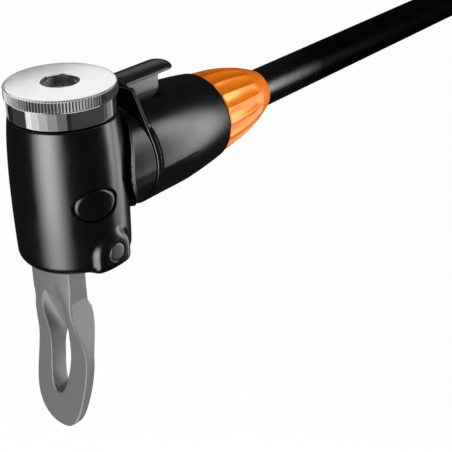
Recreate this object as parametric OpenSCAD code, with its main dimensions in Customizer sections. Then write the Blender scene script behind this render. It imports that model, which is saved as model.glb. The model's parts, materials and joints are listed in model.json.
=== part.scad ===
// Clamp-on valve head of a tyre pump with its swivelling air hose.
// The origin is the centre of the valve hole's mouth. +Z is the way the valve leaves,
// +X is the way the hose leaves, and the lever's hinge lies along Y. Millimetres.

/* [Screw cap] */
// Diameter over the knurl
cap_d = 25; // [22:0.5:30]
// Height of the knurled rim
knurl_h = 2.9; // [2:0.1:5]
// Number of knurl teeth
knurl_teeth = 110; // [60:1:140]
// Depth of a knurl tooth
knurl_depth = 0.25; // [0.1:0.05:0.4]
// Diameter of the smooth band under the knurl
band_d = 24.3; // [21:0.1:29]
// Height of the smooth band
band_h = 4.2; // [3:0.1:6]
// Diameter of the hole that takes the tyre valve
valve_bore_d = 8.5; // [8.3:0.1:9]
// Thickness of the cap's lip round the valve hole
lip_t = 2.2; // [1.5:0.1:3]
// Diameter of the threaded spigot that screws into the housing
spigot_d = 18.8; // [16:0.1:20]
// Length of the threaded spigot
spigot_len = 5.4; // [4:0.1:7]

/* [Seal and plunger] */
// Outer diameter of the rubber seal
seal_d = 12.4; // [11:0.1:13]
// Bore of the rubber seal
seal_bore_d = 8; // [7.6:0.1:8.2]
// Length of the clamped seal
seal_len = 10; // [8:0.1:12]
// Thickness of the slip washer above the seal
slip_t = 0.8; // [0.5:0.1:1.2]
// Diameter of the plunger
plunger_d = 15.9; // [14:0.1:17]
// Travel of the plunger from clamped to released
plunger_travel = 1.9; // [1:0.1:2.5]
// Diameter of the pin that presses a valve's core
pin_d = 2.4; // [2:0.1:3]
// Diameter of the pin's collar
pin_collar_d = 3.7; // [3.3:0.1:4]
// Travel of the pin
pin_travel = 2.5; // [1:0.1:3]

/* [Housing] */
// Diameter of the housing just under the cap
housing_top_d = 24.6; // [22:0.1:30]
// Diameter that the housing's bulge aims at
housing_bulge_d = 27.8; // [24:0.1:32]
// Diameter of the housing at its foot
housing_foot_d = 26.7; // [24:0.1:32]
// Height of the whole head, cap included
head_h = 42.4; // [38:0.1:52]
// Radius of the rounded lower edge
foot_round = 2.5; // [1:0.1:4]
// Width of the flat pads round the lever's pin
pad_w = 10.4; // [8:0.1:14]
// Distance of a pad's face from the valve axis
pad_face = 14.4; // [13.6:0.1:16]
// Wall left behind the lever's slot
slot_back_wall = 3.6; // [2:0.1:5]

/* [Lever] */
// Height of the lever's pin above the housing's foot
pin_above_foot = 4.4; // [4:0.1:7]
// Diameter of the lever's pin
lever_pin_d = 4.4; // [3:0.1:5]
// Length from the pin to the lever's tip
lever_len = 50.8; // [44:0.1:64]
// Width of the lever's neck
neck_w = 11.5; // [9:0.1:13]
// Widest part of the lever
loop_w = 17.6; // [14:0.1:24]
// Length from the pin to the lever's widest part
loop_at = 33; // [28:1:40]
// Distance of the lever's outer face from the pin
lever_face = 9.1; // [7:0.1:10]
// Thickness of the lever's neck
neck_t = 5.6; // [5:0.1:8]
// Length of the finger hole
finger_len = 26.4; // [14:0.1:28]
// Width of the finger hole
finger_w = 7.7; // [5:0.1:10]
// Length from the pin to the widest part of the finger hole
finger_at = 27; // [24:1:34]
// Cam radius that clamps the seal
cam_high = 6.4; // [5:0.1:8]

/* [Arm] */
// Depth of the arm's axis below the cap's top
arm_depth = 23; // [20:0.1:26]
// Diameter of the neck between the housing and the sleeve
arm_neck_d = 25.1; // [20:0.1:26]
// Distance of the sleeve's end from the valve axis
sleeve_start = 16.2; // [15:0.1:20]
// Length of the sleeve
sleeve_len = 28.6; // [24:0.1:36]
// Diameter of the sleeve at the head end
sleeve_d = 27; // [24:0.1:33]
// Diameter of the sleeve at the hose end
sleeve_end_d = 23.1; // [22.9:0.1:28]
// Thickness of the sleeve's end flange
flange_t = 1; // [0.6:0.1:2]
// Diameter of the bearing that the sleeve turns on
bearing_d = 18.4; // [16:0.1:19]
// Length of the bearing
bearing_len = 14; // [10:0.1:16]
// Bore of the bearing, which carries the hose connector
swivel_bore_d = 11; // [9:0.1:12]

/* [Thumb tab] */
// Length of the tab's paddle
tab_len = 18.1; // [12:0.1:24]
// Width of the paddle
tab_w = 7.8; // [6:0.1:12]
// Height of the paddle's top below the cap's top
tab_drop = 3.7; // [3:0.1:6]
// Thickness of the paddle
tab_t = 1.8; // [0.8:0.1:2]
// Thickness of the tab's stem
stem_t = 2.8; // [2:0.1:4]
// Length of the tab's stem
stem_len = 12.4; // [8:0.1:16]

/* [Hose end] */
// Length of the collar that shows
collar_len = 23.5; // [18:0.1:30]
// Diameter of the collar beside the sleeve
collar_d = 22.2; // [18:0.1:23]
// Diameter of the collar inside the sleeve
collar_neck_d = 20.4; // [16:0.1:21]
// Thickness of the collar's lip round the hose
collar_lip_t = 0.6; // [0.5:0.1:1.5]
// Outside diameter of the hose
hose_d = 10.7; // [8.8:0.1:13]
// Bore of the hose
hose_bore_d = 5; // [4:0.1:6]
// Wall of the crimped ferrules
ferrule_wall = 0.7; // [0.5:0.1:1]
// Bore of the connectors
air_d = 3; // [2:0.1:3.4]

/* [Coil and far end] */
// Diameter of the coil at the middle of the hose
coil_d = 110; // [100:1:130]
// Whole turns of the coil
coil_turns = 2; // [1:1:4]
// Space between neighbouring turns
coil_clear = 0.9; // [0.6:0.1:3]
// Width across the flats of the union nut
nut_af = 14; // [12:0.5:17]
// Length of the union nut
nut_len = 10; // [8:0.5:14]
// Diameter of the union nut's thread
nut_thread_d = 9.7; // [8:0.1:11]

/* [Hidden] */

$fn = 96;
run = 0.05;                        // radial clearance of a running fit
press = 0.01;                      // radial clearance of a piece that is pressed in
gap = 0.3;                         // clearance between pieces that don't touch
cut = 1;                           // how far a cutting shape passes the surface
steps = 14;                        // points on a curved outline

// Levels along the valve axis
cap_bottom = -(knurl_h + band_h);
spigot_end = cap_bottom - spigot_len;
seal_top = -lip_t - slip_t;
seal_end = seal_top - seal_len;
foot_z = -head_h;
pin_z = foot_z + pin_above_foot;   // the lever's pin
foot_rest = pin_z + cam_high + gap;
seat_z = spigot_end - 1.5;         // shoulder under the cap's O-ring
slot_top = foot_rest;
slot_w = neck_w + 2 * gap;
foot_d = neck_w - gap;             // the plunger's foot, which the cam pushes
housing_top = cap_bottom - gap;
pocket_d = seal_d + 2 * gap;       // the cap's pocket for the seal
entry_d = spigot_d + 2 * run;      // the housing's bore for the cap
chamber_d = plunger_d + 2 * run;   // the housing's bore for the plunger
foot_top = foot_rest + plunger_travel + gap;
cam_low = cam_high - plunger_travel;

// Places along the arm
arm_z = -arm_depth;
arm_neck_end = sleeve_start - gap;
sleeve_end = sleeve_start + sleeve_len;
bearing_end = sleeve_start + bearing_len;
swivel_x = chamber_d / 2 + 4;      // inner end of the connector's bore
clip_t = 1;                        // thickness of the spring clips
clip_x = bearing_end - 2 * clip_t;
neck_clip_x = bearing_end - 5;
collar_x = sleeve_end - 4.8;
hub_t = 4;                         // the collar's wall on the connector
shoulder_x = sleeve_end + gap;      // the collar's shoulder, beside the sleeve's end
mouth_x = sleeve_end + collar_len;
root_x = collar_x + hub_t + 1.5;   // inner end of the hose
barb_d = hose_bore_d + 0.8;
collar_mouth_d = hose_d + 2 * collar_lip_t;
stem_x = sleeve_start + flange_t;
tab_top = -tab_drop;
tab_under = tab_top - tab_t;
stem_z = arm_z + sleeve_d / 2 - 1.9; // the stem's foot, sunk in the sleeve

// The hose: [distance, height over the arm's axis], sinking a little as it leaves the arm
hose_route = [
    [mouth_x, 0], [90, 0], [112, 0], [134, 0], [156, 0], [178, 0],
    [200, -0.5], [221, -2], [242, -5], [263, -9.5], [284, -15.5]
];

// The coil hangs from the hose's end and starts on its slope
hose_last = hose_route[len(hose_route) - 1];
hose_before = hose_route[len(hose_route) - 2];
slope = atan2(hose_before[1] - hose_last[1], hose_last[0] - hose_before[0]);
coil_r = coil_d / 2;
coil_step = hose_d + coil_clear;
coil_x = hose_last[0] + hose_d * cos(slope) - coil_r * sin(slope);
coil_z = arm_z + hose_last[1] - hose_d * sin(slope) - coil_r * cos(slope);
coil_angle = 360 * coil_turns + 90 - slope;
far_slip = 4;                      // how far the far end steps aside from the turns
end_x = coil_x + coil_r;
end_y = -coil_step * coil_angle / 360 - far_slip;
end_z = coil_z - hose_d;
tie_turn = 28;                     // the tie's place, in degrees past the coil's top

// Points on a curve that is drawn towards a middle point
function bend(a, b, c, t) = (1 - t) * (1 - t) * a + 2 * t * (1 - t) * b + t * t * c;
function curve(a, b, c, n = steps) = [for (i = [0:n]) bend(a, b, c, i / n)];
function arc(c, r, from, to, n = 10) =
    [for (i = [0:n]) let (t = from + (to - from) * i / n) c + r * [cos(t), sin(t)]];
function unit(v) = v / norm(v);
function smooth(t) = t * t * (3 - 2 * t);

// A closed tube round a path: rings of points, then triangles between them
function heading(p, i) =
    let (last = len(p) - 1)
    i < 2 ? unit(p[1] - p[0]) : i > last - 2 ? unit(p[last] - p[last - 1]) : unit(p[i + 1] - p[i - 1]);
function ring(p, i, r, sides, side) =
    let (t = heading(p, i), u = unit(cross(side, t)), v = cross(t, u))
    [for (k = [0:sides - 1]) p[i] + r * (cos(360 * k / sides) * u + sin(360 * k / sides) * v)];
function tube_faces(rings, sides) = concat(
    [for (k = [1:sides - 2]) [0, k, k + 1]],
    [for (k = [1:sides - 2]) let (e = (rings - 1) * sides) [e, e + k + 1, e + k]],
    [for (i = [0:rings - 2], k = [0:sides - 1])
        let (a = i * sides + k, b = i * sides + (k + 1) % sides) [a, a + sides, b]],
    [for (i = [0:rings - 2], k = [0:sides - 1])
        let (a = i * sides + k, b = i * sides + (k + 1) % sides) [b, a + sides, b + sides]]
);
module tube(path, r, sides, side, first = 0, last = -1) {
    stop = last < 0 ? len(path) - 1 : last;
    points = [for (i = [first:stop]) each ring(path, i, r, sides, side)];
    polyhedron(points = points, faces = tube_faces(stop - first + 1, sides));
}

// Least distance between turns of a winding, from points that are a turn apart
function least_gap(p, turn, d) = min([
    for (i = [0:len(p) - turn + 3], k = [turn - 4:turn + 4])
        if (i + k < len(p) && k > turn / 2) norm(p[i + k] - p[i])
]) - d;

// The coil: straight in, round in a helix, and straight out at the far end
loop_rings = 24;
coil_rings = round(loop_rings * coil_angle / 360);
function coil_y(turned) =
    -coil_step * turned / 360 - far_slip * smooth(max(0, 1 + (turned - coil_angle) / 90));
function coil_point(i) = let (turned = coil_angle * i / coil_rings, t = 90 - slope - turned)
    [coil_x + coil_r * cos(t), coil_y(turned), coil_z + coil_r * sin(t)];
coil_path = concat(
    [for (back = [hose_d, hose_d / 2]) coil_point(0) + back * [-cos(slope), 0, sin(slope)]],
    [for (i = [0:coil_rings]) coil_point(i)],
    [for (on = [hose_d / 2, hose_d]) [end_x, end_y, coil_z - on]]
);
echo(coil_gap = least_gap(coil_path, loop_rings, hose_d));

// The tail is the end of the coil's path: past the tie, down into the fitting
tail_rings = 5;
tail_start = len(coil_path) - 1 - tail_rings;

// The pin, its bush and the small spring under it
pin_sink = 3.2;                    // how far the pin's tip is below the washer
bush_d = 6;
bush_len = 3;
spring_wire = 0.5;
spring_turns = 7;
spring_slack = 1.9;                // room left when the pin is fully down
spring_len = pin_travel + (spring_turns + 1) * spring_wire + spring_slack;
spring_d = pin_collar_d - spring_wire - gap;
pin_tip = seal_top - pin_sink;
bush_top = seal_end - 0.9;
bush_end = bush_top - bush_len;
collar_top = bush_end - 0.5;
collar_end = collar_top - 1.6;
spring_foot = collar_end - spring_len;
spring_rise = spring_len - 2 * spring_wire;
spring_path = [for (i = [0:8 * spring_turns])
    [spring_d / 2 * cos(45 * i), spring_d / 2 * sin(45 * i),
     spring_foot + spring_wire + spring_rise * i / (8 * spring_turns)]];
echo(spring_gap = least_gap(spring_path, 8, spring_wire));

// Moves a shape made along Z so that it runs along the arm
module along_arm(x) {
    translate([x, 0, arm_z])
        rotate([0, 90, 0])
            children();
}

// A round piece along the arm, from an outline of [distance, radius] points
module turned_arm(outline) {
    translate([0, 0, arm_z])
        rotate([0, 90, 0])
            rotate_extrude()
                polygon([for (p = outline) [p[1], p[0]]]);
}

module washer(z, t, d, bore) {
    translate([0, 0, z])
        difference() {
            cylinder(h = t, d = d);
            translate([0, 0, -cut])
                cylinder(h = t + 2 * cut, d = bore);
        }
}

module torus(major, minor) {
    rotate_extrude()
        translate([major, 0])
            circle(r = minor, $fn = 32);
}

/* ---- Housing ---- */

housing_side = concat(
    [[0, housing_top]],
    curve([housing_top_d / 2, housing_top], [housing_bulge_d / 2, housing_top - 10],
          [housing_foot_d / 2, foot_z + foot_round]),
    arc([housing_foot_d / 2 - foot_round, foot_z + foot_round], foot_round, 0, -90),
    [[0, foot_z]]
);

module pad() {
    rotate([90, 0, 0])
        linear_extrude(pad_face)
            union() {
                translate([0, pin_z])
                    circle(d = pad_w);
                translate([-pad_w / 2, foot_z])
                    square([pad_w, pin_above_foot]);
            }
}

module housing_outside() {
    rotate_extrude()
        polygon(housing_side);
    pad();
    mirror([0, 1, 0])
        pad();
    along_arm(0)
        cylinder(h = arm_neck_end, d = arm_neck_d);
}

slot_back = housing_foot_d / 2 - slot_back_wall;
slot_front = slot_back - 3;        // where the slot's roof steps down under the arm
slot_mouth = pin_z + 1.4;          // the slot's roof under the arm

module lever_slot() {
    translate([-slot_back, -slot_w / 2, foot_z - cut])
        cube([slot_back + slot_front, slot_w, slot_top - foot_z + cut]);
    translate([0, -slot_w / 2, foot_z - cut])
        cube([housing_bulge_d / 2 + cut, slot_w, slot_mouth - foot_z + cut]);
}

nose_z = min(seal_end - 1.6, seat_z - gap); // foot of the plunger's nose

// O-rings and their grooves
big_ring = 0.92;                   // radius of the plunger's O-rings
big_groove = 2.1;
upper_groove = nose_z - 1.8;
lower_groove = foot_top + 1.8;
sleeve_ring = 0.55;
sleeve_groove = 1.6;
sleeve_groove_x = sleeve_start + 4;
connector_ring = 0.9;
connector_groove = 2.1;
connector_groove_x = swivel_x + 3;
cap_ring = 0.68;

// Cuts a groove round a shaft that lies along Z
module groove(width, shaft_d, depth) {
    difference() {
        cylinder(h = width, d = shaft_d + cut);
        translate([0, 0, -cut])
            cylinder(h = width + 2 * cut, d = shaft_d - 2 * depth);
    }
}

badge_turn = -17;                  // the badge faces this way from -Y
badge_z = -25;
badge_w = 11.6;
badge_h = 8.4;
badge_floor = housing_foot_d / 2 - 0.6;

module badge_shape(inset) {
    translate([0, 0, badge_z])
        rotate([90, 0, badge_turn])
            linear_extrude(housing_bulge_d)
                polygon([for (i = [0:47]) let (t = 7.5 * i)
                    [(badge_w / 2 - inset) * cos(t), (badge_h / 2 - inset) * sin(t)]]);
}

// The badge's oval between two radii of the housing
module badge_slab(inset, outer_r) {
    intersection() {
        badge_shape(inset);
        translate([0, 0, badge_z - badge_h])
            difference() {
                cylinder(h = 2 * badge_h, r = outer_r);
                translate([0, 0, -cut])
                    cylinder(h = 2 * badge_h + 2 * cut, r = badge_floor);
            }
    }
}

module housing() {
    color([0.08, 0.085, 0.09])
        difference() {
            union() {
                housing_outside();
                along_arm(arm_neck_end - cut)
                    cylinder(h = bearing_end - arm_neck_end + cut, d = bearing_d);
            }
            // the cap's thread, the O-ring's seat and the plunger's chamber
            translate([0, 0, seat_z])
                cylinder(h = cut - seat_z, d = entry_d);
            translate([0, 0, slot_top - cut])
                cylinder(h = -slot_top, d = chamber_d);
            lever_slot();
            // the lever pin's bore
            translate([0, 2 * pad_face, pin_z])
                rotate([90, 0, 0])
                    cylinder(h = 4 * pad_face, d = lever_pin_d + 2 * press);
            // the air way, the connector's bore and its clip's groove
            along_arm(0)
                cylinder(h = sleeve_end, d = air_d);
            along_arm(swivel_x)
                cylinder(h = bearing_end, d = swivel_bore_d);
            along_arm(neck_clip_x)
                cylinder(h = clip_t + 2 * run, d = swivel_bore_d + 1.8);
            // the sleeve's O-ring and clip
            along_arm(sleeve_groove_x)
                groove(sleeve_groove, bearing_d, 2 * sleeve_ring + run);
            along_arm(clip_x)
                groove(clip_t + 2 * run, bearing_d, 0.8);
            badge_slab(0, housing_bulge_d / 2 + cut);
        }
}

module badge_plate() {
    color([0.16, 0.165, 0.17])
        badge_slab(0.1, housing_foot_d / 2 - 0.2);
}

/* ---- Valve end ---- */

rim_edge = 0.4;                    // height of the plain edges over and under the teeth
rim_edge_r = cap_d / 2 - knurl_depth - 0.1;

module knurled_rim() {
    translate([0, 0, rim_edge - knurl_h])
        linear_extrude(knurl_h - 2 * rim_edge)
            polygon([for (i = [0:2 * knurl_teeth - 1]) let (t = 180 * i / knurl_teeth)
                (cap_d / 2 - knurl_depth * (i % 2)) * [cos(t), sin(t)]]);
    translate([0, 0, -knurl_h])
        cylinder(h = knurl_h - rim_edge, r = rim_edge_r);
    translate([0, 0, -rim_edge])
        cylinder(h = rim_edge, r1 = rim_edge_r, r2 = rim_edge_r - rim_edge / 2);
}

module screw_cap() {
    color([0.82, 0.83, 0.84])
        difference() {
            union() {
                knurled_rim();
                translate([0, 0, cap_bottom])
                    cylinder(h = band_h, d = band_d);
                translate([0, 0, spigot_end])
                    cylinder(h = spigot_len + cut, d = spigot_d);
            }
            translate([0, 0, -lip_t - cut])
                cylinder(h = lip_t + 2 * cut, d = valve_bore_d);
            translate([0, 0, spigot_end - cut])
                cylinder(h = cut - lip_t - spigot_end, d = pocket_d);
        }
}

module slip_washer() {
    color([0.7, 0.7, 0.72])
        washer(seal_top, slip_t, seal_d, valve_bore_d);
}

module valve_seal() {
    color([0.1, 0.1, 0.1])
        washer(seal_end, seal_len, seal_d, seal_bore_d);
}

module cap_oring() {
    color([0.05, 0.05, 0.05])
        translate([0, 0, seat_z + cap_ring + 0.02])
            torus(entry_d / 2 - cap_ring - run, cap_ring);
}

waist_h = 3.2;                     // the waist that the air comes in round

module plunger() {
    color([0.85, 0.83, 0.78])
        difference() {
            union() {
                translate([0, 0, nose_z])
                    cylinder(h = seal_end - nose_z, d = seal_d);
                translate([0, 0, foot_top])
                    cylinder(h = nose_z - foot_top, d = plunger_d);
                translate([0, 0, foot_rest])
                    cylinder(h = foot_top - foot_rest, d = foot_d);
            }
            for (z = [upper_groove, lower_groove])
                translate([0, 0, z - big_groove / 2])
                    groove(big_groove, plunger_d, 2 * big_ring + run);
            translate([0, 0, arm_z - waist_h / 2])
                groove(waist_h, plunger_d, 1.5);
            translate([-plunger_d, 0, arm_z])
                rotate([0, 90, 0])
                    cylinder(h = 2 * plunger_d, d = waist_h / 2);
            // the pin's bore and the bush's seat
            translate([0, 0, spring_foot])
                cylinder(h = -spring_foot, d = pin_collar_d + 2 * run);
            translate([0, 0, bush_end])
                cylinder(h = -bush_end, d = bush_d + 2 * press);
        }
}

module plunger_oring(z) {
    color([0.05, 0.05, 0.05])
        translate([0, 0, z])
            torus(plunger_d / 2 - big_ring, big_ring);
}

module plunger_oring_upper() {
    plunger_oring(upper_groove);
}

module plunger_oring_lower() {
    plunger_oring(lower_groove);
}

// Small round cuts in a ring, which let the air past the pin
module air_cuts(z, h, ring_r, hole_d) {
    for (turn = [0:120:240])
        rotate([0, 0, turn])
            translate([ring_r, 0, z - cut])
                cylinder(h = h + 2 * cut, d = hole_d);
}

module pin_bush() {
    color([0.8, 0.65, 0.35])
        difference() {
            washer(bush_end, bush_len, bush_d, pin_d + 2 * run);
            air_cuts(bush_end, bush_len, bush_d / 4 + pin_d / 4, 0.9);
        }
}

module depressor_pin() {
    color([0.8, 0.65, 0.35])
        difference() {
            union() {
                translate([0, 0, collar_end])
                    cylinder(h = pin_tip - collar_end, d = pin_d);
                translate([0, 0, collar_end])
                    cylinder(h = collar_top - collar_end, d = pin_collar_d);
            }
            air_cuts(collar_end, collar_top - collar_end, pin_collar_d / 2, 0.9);
        }
}

module pin_spring() {
    color([0.7, 0.7, 0.72])
        tube(spring_path, spring_wire / 2, 6, [0, 0, 1]);
}

/* ---- Lever ---- */

step_at = 16;                      // where the lever's back steps out
step_rise = 0.7;
tip_t = 2.8;                       // thickness at the tip
neck_back = neck_t - lever_face;   // the back of the lever's neck, from the pin
waist_in = 1.7;                    // how far the face stands back at the waist
waist_run = 12;                    // over this length below the step
tip_out = 3.1;                     // how far it comes out again, to the tip
tip_from = 28;
tip_run = 20;
thin_run = 13;                     // the lever thins over this length below the step

// Goes smoothly from 0 to 1 over a stretch of the lever
function stretch(s, from, over) = smooth(min(1, max(0, (s - from) / over)));

// The lever's outer face, and its back below the step, at a distance from the pin
function face_at(s) =
    waist_in * stretch(s, step_at, waist_run) - tip_out * stretch(s, tip_from, tip_run) - lever_face;
function back_at(s) =
    face_at(s) + tip_t + (neck_t + step_rise - tip_t) * (1 - stretch(s, step_at + 1, thin_run));

// The lever seen from the side: [x, z] from the pin
lever_side = concat(
    arc([0, 0], cam_low, -60, 0),
    [for (i = [1:12]) (cam_low + plunger_travel * i / 12) * [cos(7.5 * i), sin(7.5 * i)]],
    arc([0, 0], cam_high, 95, 155),
    [[-lever_face, -2]],
    [for (i = [0:12]) let (s = step_at + (lever_len - step_at) * i / 12) [face_at(s), -s]],
    [for (i = [0:12]) let (s = lever_len + (step_at + 1 - lever_len) * i / 12) [back_at(s), -s]],
    [[neck_back, 1 - step_at], [neck_back, -7]]
);

// Half the lever's width at a distance from the pin; its end is fuller than an ellipse
widen_at = 14;
fullness = 2.4;
function lever_half(s) =
    s < loop_at
    ? neck_w / 2 + (loop_w - neck_w) / 2 * pow(sin(90 * max(0, s - widen_at) / (loop_at - widen_at)), 1.25)
    : loop_w / 2 * pow(max(0, 1 - pow((s - loop_at) / (lever_len - loop_at), fullness)), 1 / fullness);
lever_marks = concat(
    [-cam_high - cut],
    [for (i = [0:10]) widen_at + (loop_at - widen_at) * i / 10],
    [for (i = [1:11]) loop_at + (lever_len - loop_at) * sin(90 * i / 12)]
);
lever_front = concat(
    [for (s = lever_marks) [lever_half(s), -s]],
    [[0, -lever_len]],
    [for (i = [1:len(lever_marks)]) let (s = lever_marks[len(lever_marks) - i]) [-lever_half(s), -s]]
);

// The finger hole seen from the front: a long oval, longer below its widest part
finger_low = finger_len * 0.545;
function finger_shape(grow) = [
    for (i = [0:39])
        let (c = cos(9 * i), n = sin(9 * i), reach = (n > 0 ? finger_low : finger_len - finger_low) + grow)
        [(finger_w / 2 + grow) * sign(c) * pow(abs(c), 2 / fullness),
         -finger_at - reach * sign(n) * pow(abs(n), 2 / fullness)]
];

// The same hole from the side: it starts as a ramp, from the face to the back
ramp_from = finger_at - finger_len + finger_low;
ramp_run = 7.5;
ramp_to = ramp_from + ramp_run;
finger_ramp = [
    [-2 * lever_face, -ramp_from], [face_at(ramp_from), -ramp_from], [back_at(ramp_to), -ramp_to],
    [lever_face, -ramp_to], [lever_face, -lever_len], [-2 * lever_face, -lever_len]
];

// The rim round the hole, raised on the back
rim_w = 1.4;
rim_t = 4.2;
rim_marks = [for (i = [0:10]) ramp_to + (finger_at + finger_low + rim_w - ramp_to) * i / 10];
finger_rim = concat(
    [for (s = rim_marks) [face_at(s), -s]],
    [for (i = [0:10]) let (s = rim_marks[10 - i]) [face_at(s) + rim_t, -s]]
);

module through_lever(shape) {
    translate([-2 * lever_face, 0, pin_z])
        rotate([90, 0, 90])
            linear_extrude(3 * lever_face)
                polygon(shape);
}

module across_lever(side) {
    translate([0, loop_w, pin_z])
        rotate([90, 0, 0])
            linear_extrude(2 * loop_w)
                polygon(side);
}

module lever() {
    color([0.56, 0.57, 0.57])
        difference() {
            union() {
                intersection() {
                    across_lever(lever_side);
                    through_lever(lever_front);
                }
                intersection() {
                    across_lever(finger_rim);
                    through_lever(finger_shape(rim_w));
                }
            }
            intersection() {
                across_lever(finger_ramp);
                through_lever(finger_shape(0));
            }
            translate([0, loop_w, pin_z])
                rotate([90, 0, 0])
                    cylinder(h = 2 * loop_w, d = lever_pin_d + 2 * run);
        }
}

module lever_pin() {
    color([0.62, 0.63, 0.64])
        translate([0, pad_face + 0.2, pin_z])
            rotate([90, 0, 0])
                cylinder(h = 2 * pad_face + 0.4, d = lever_pin_d);
}

/* ---- Arm ---- */

crest_half = 5.6;                  // half the crest's width under the paddle
crest_turn = 28;                   // where the crest leaves the flange's circle
crest_waist = [8.6, 11.6];         // the point that the crest's sides are drawn towards
flange_r = sleeve_d / 2 - 0.45;
crest_foot = flange_r * [cos(crest_turn), sin(crest_turn)];
crest_top = [crest_half, tab_under - arm_z];
clip_d = bearing_d + 1.8;
cavity_d = max(collar_neck_d, clip_d) + 2 * gap;

// One side of the crest that carries the tab, seen along the arm: [y, z]
function crest_side(side) =
    [for (p = curve(crest_foot, crest_waist, crest_top, 8)) [side * p[0], p[1]]];

module flange_face() {
    circle(r = flange_r);
    polygon(concat([[0, 0]], crest_side(1), [[0, crest_top[1]]]));
    polygon(concat([[0, 0]], crest_side(-1), [[0, crest_top[1]]]));
}

sleeve_side = concat(
    [[stem_x - gap, 0], [stem_x - gap, flange_r - gap], [stem_x, flange_r], [stem_x + 0.3, sleeve_d / 2]],
    curve([stem_x + 1, sleeve_d / 2], [sleeve_start + 17, sleeve_d / 2 - 0.1],
          [sleeve_end, sleeve_end_d / 2]),
    [[sleeve_end, 0]]
);

// The tab's stem, as high as it stands or higher, to cut its seat
module stem_block(extra) {
    translate([stem_x, -stem_t / 2, stem_z])
        cube([stem_len, stem_t, tab_under - stem_z + extra]);
}

module arm_sleeve() {
    color([0.09, 0.095, 0.1])
        difference() {
            union() {
                turned_arm(sleeve_side);
                translate([sleeve_start, 0, arm_z])
                    rotate([90, 0, 90])
                        linear_extrude(flange_t)
                            flange_face();
            }
            along_arm(0)
                cylinder(h = mouth_x, d = bearing_d + 2 * run);
            along_arm(clip_x - gap)
                cylinder(h = mouth_x, d = cavity_d);
            stem_block(cut);
        }
}

crown_drop = 1.4;                  // the paddle's top falls away to its edges
crown_r = (pow(tab_w / 2, 2) + pow(crown_drop, 2)) / (2 * crown_drop);

module thumb_tab() {
    color([0.2, 0.21, 0.22])
        union() {
            stem_block(0);
            intersection() {
                translate([0, 0, tab_under])
                    linear_extrude(tab_t)
                        union() {
                            translate([sleeve_start, -tab_w / 2])
                                square([tab_len - tab_w / 2, tab_w]);
                            translate([sleeve_start + tab_len - tab_w / 2, 0])
                                circle(d = tab_w);
                        }
                translate([0, 0, tab_top - crown_r])
                    rotate([0, 90, 0])
                        cylinder(h = 2 * sleeve_end, r = crown_r);
            }
        }
}

module sleeve_oring() {
    color([0.05, 0.05, 0.05])
        along_arm(sleeve_groove_x + sleeve_groove / 2)
            torus(bearing_d / 2 - sleeve_ring, sleeve_ring);
}

module split_ring(x, d, bore, opening) {
    along_arm(x)
        difference() {
            cylinder(h = clip_t, d = d);
            translate([0, 0, -cut])
                cylinder(h = clip_t + 2 * cut, d = bore);
            translate([-d, -opening / 2, -cut])
                cube([d, opening, clip_t + 2 * cut]);
        }
}

module sleeve_clip() {
    color([0.6, 0.6, 0.62])
        split_ring(clip_x + run, clip_d, bearing_d - 1.4, 4);
}

module connector_clip() {
    color([0.6, 0.6, 0.62])
        split_ring(neck_clip_x + run, swivel_bore_d + 1.6, shank_d + 2 * gap, 3);
}

module connector_oring() {
    color([0.05, 0.05, 0.05])
        along_arm(connector_groove_x + connector_groove / 2)
            torus(swivel_bore_d / 2 - run - connector_ring, connector_ring);
}

shank_d = 8;
tooth = 5;                         // length of one tooth of the barb
tooth_rise = 0.4;
barb_teeth = 3;
barb_len = tooth * barb_teeth;

// A barb's teeth, as [distance, radius] points
barb_side = [for (i = [0:barb_teeth - 1]) each [
    [root_x + tooth * i, barb_d / 2],
    [root_x + tooth * (i + 0.8), barb_d / 2 - tooth_rise],
    [root_x + tooth * (i + 1), barb_d / 2 - tooth_rise]
]];

module hose_connector() {
    color([0.78, 0.64, 0.36])
        difference() {
            turned_arm(concat(
                [[swivel_x + gap, 0], [swivel_x + gap, swivel_bore_d / 2 - run]],
                [[neck_clip_x - 0.1, swivel_bore_d / 2 - run], [neck_clip_x - 0.1, shank_d / 2]],
                [[root_x - 0.5, shank_d / 2], [root_x - 0.5, barb_d / 2]],
                barb_side,
                [[root_x + barb_len, 0]]
            ));
            along_arm(0)
                cylinder(h = mouth_x, d = air_d);
            along_arm(connector_groove_x)
                groove(connector_groove, swivel_bore_d - 2 * run, 2 * connector_ring + run);
        }
}

ferrule_d = hose_d + 2 * ferrule_wall;
lip_len = 2.5;                     // the collar's end lip, which closes on the hose

module hose_collar() {
    color([0.93, 0.55, 0.06])
        difference() {
            turned_arm(concat(
                [[collar_x, 0], [collar_x, collar_neck_d / 2]],
                [[shoulder_x, collar_neck_d / 2], [shoulder_x, collar_d / 2 - 0.15]],
                curve([shoulder_x + 0.2, collar_d / 2], [shoulder_x + 11.5, collar_d / 2 - 0.15],
                      [mouth_x, collar_mouth_d / 2]),
                [[mouth_x, 0]]
            ));
            along_arm(0)
                cylinder(h = mouth_x, d = shank_d + 2 * press);
            along_arm(collar_x + hub_t)
                cylinder(h = mouth_x - lip_len - collar_x - hub_t, d = ferrule_d + 2 * press);
            along_arm(collar_x + hub_t)
                cylinder(h = mouth_x, d = hose_d + 2 * press);
        }
}

module hose_ferrule() {
    color([0.7, 0.7, 0.72])
        along_arm(root_x + 0.5)
            difference() {
                cylinder(h = mouth_x - lip_len - root_x - 1.5, d = ferrule_d);
                translate([0, 0, -cut])
                    cylinder(h = mouth_x, d = hose_d + 2 * press);
            }
}

/* ---- Hose ---- */

module hose_root() {
    color([0.06, 0.06, 0.065])
        along_arm(root_x)
            difference() {
                cylinder(h = mouth_x - root_x, d = hose_d);
                translate([0, 0, -cut])
                    cylinder(h = mouth_x, d = barb_d + 2 * press);
            }
}

module hose() {
    color([0.06, 0.06, 0.065])
        tube([for (p = hose_route) [p[0], 0, arm_z + p[1]]], hose_d / 2, 12, [0, 1, 0]);
}

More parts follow.
